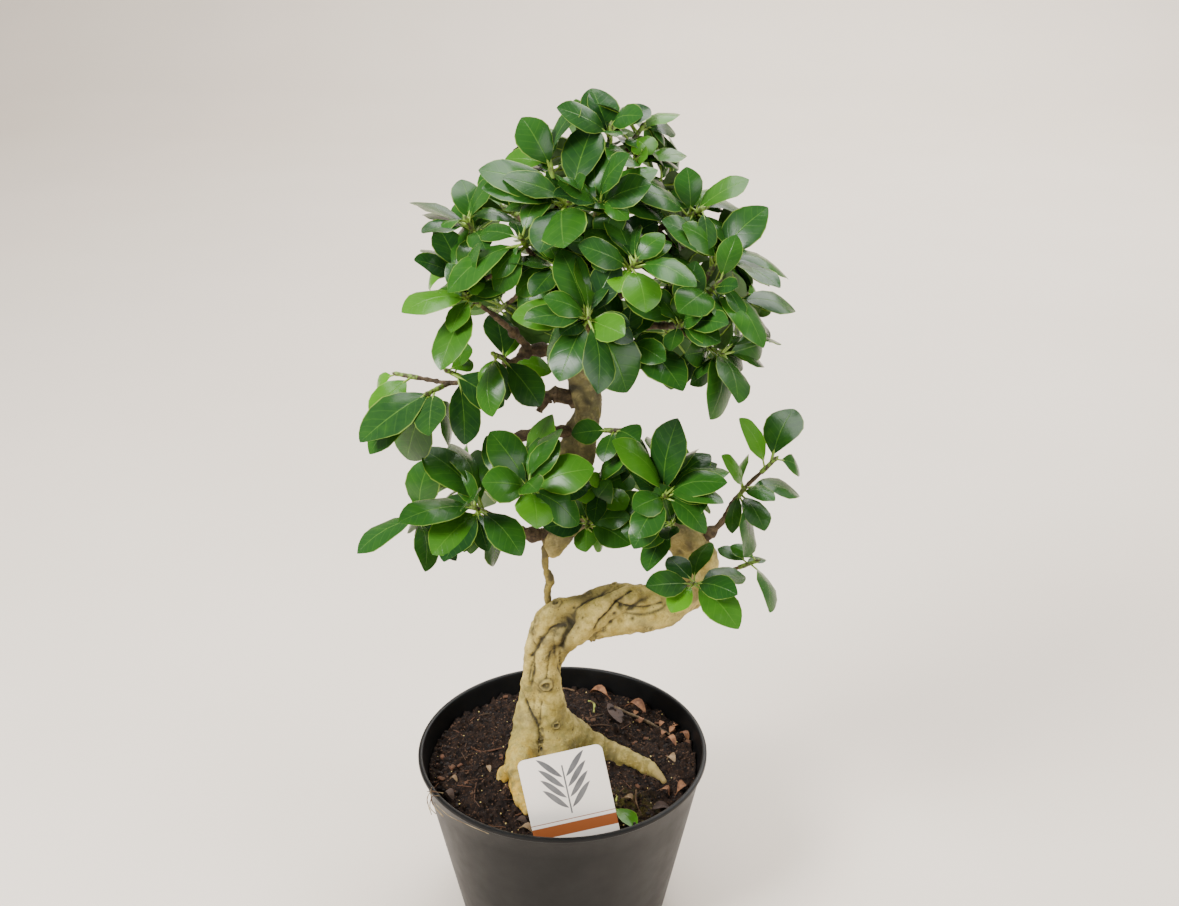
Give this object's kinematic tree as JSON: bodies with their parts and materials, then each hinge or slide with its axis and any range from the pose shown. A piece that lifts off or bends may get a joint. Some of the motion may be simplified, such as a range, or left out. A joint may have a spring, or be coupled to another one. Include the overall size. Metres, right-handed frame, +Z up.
{
  "type": "potted bonsai tree",
  "caption": "Ginseng ficus trained as an S-shaped bonsai, with a twisted trunk, spreading roots and two tiers of glossy leaves, in a round black nursery pot with a plant label.",
  "frame": {"origin": "centre of the pot's underside, on the surface that it stands on", "axes": "+Z up, -Y towards the front, +X to the viewer's right"},
  "size_m": [0.3116, 0.2449, 0.6294],
  "materials": {
    "pot_plastic": "satin black moulded plastic",
    "peat": "loose dark peat with bark crumbs",
    "bark": "smooth pale bark with creases and a green tint",
    "leaf": "waxy leaf with a glossy upper side",
    "dry_leaf": "dry curled leaf",
    "card": "printed glossy card"
  },
  "bodies": {
    "root": {"pot": "pot_plastic", "soil": "peat", "trunk": "bark", "plant_label": "card", "spray_apex": "leaf", "spray_apex_right": "leaf", "spray_apex_low": "leaf", "spray_upper_left_tip": "leaf", "spray_upper_left": "leaf", "spray_upper_mid": "leaf", "spray_far_left": "leaf", "spray_left_mid": "leaf", "spray_left_front": "leaf", "spray_left_low": "leaf", "spray_front": "leaf", "spray_centre_right": "leaf", "spray_right_top": "leaf", "spray_right": "leaf", "spray_right_mid": "leaf", "spray_right_out": "leaf", "spray_right_low": "leaf", "spray_right_under": "leaf", "spray_centre_low": "leaf", "spray_left_twig_end": "leaf", "spray_left_twig_mid": "leaf", "spray_left_twig_inner": "leaf", "spray_left_node": "leaf", "spray_left_lower": "leaf", "spray_left_lower_far": "leaf", "spray_lower_front": "leaf", "spray_lower_right": "leaf", "spray_lower_right_under": "leaf", "spray_under_mid": "leaf", "spray_mid_inner": "leaf", "spray_centre_pair": "leaf", "spray_right_sprig_end": "leaf", "spray_right_sprig_mid": "leaf", "spray_right_lower_sprig": "leaf", "spray_bottom_right": "leaf", "spray_rear_top": "leaf", "spray_rear_top_right": "leaf", "spray_rear_upper_left": "leaf", "spray_rear_left": "leaf", "spray_rear_middle": "leaf", "spray_rear_low": "leaf", "spray_rear_right_high": "leaf", "spray_rear_right": "leaf", "spray_rear_right_low": "leaf", "spray_rear_right_side": "leaf", "spray_inner_left": "leaf", "spray_inner_middle": "leaf", "spray_inner_left_high": "leaf", "spray_inner_right": "leaf", "spray_lower_rear_left": "leaf", "spray_lower_rear_middle": "leaf", "spray_lower_rear_right": "leaf", "fallen_leaf": "leaf", "dry_leaf_left": "dry_leaf", "dry_leaf_right": "dry_leaf", "dry_twig": "bark"}
  },
  "joints": []
}
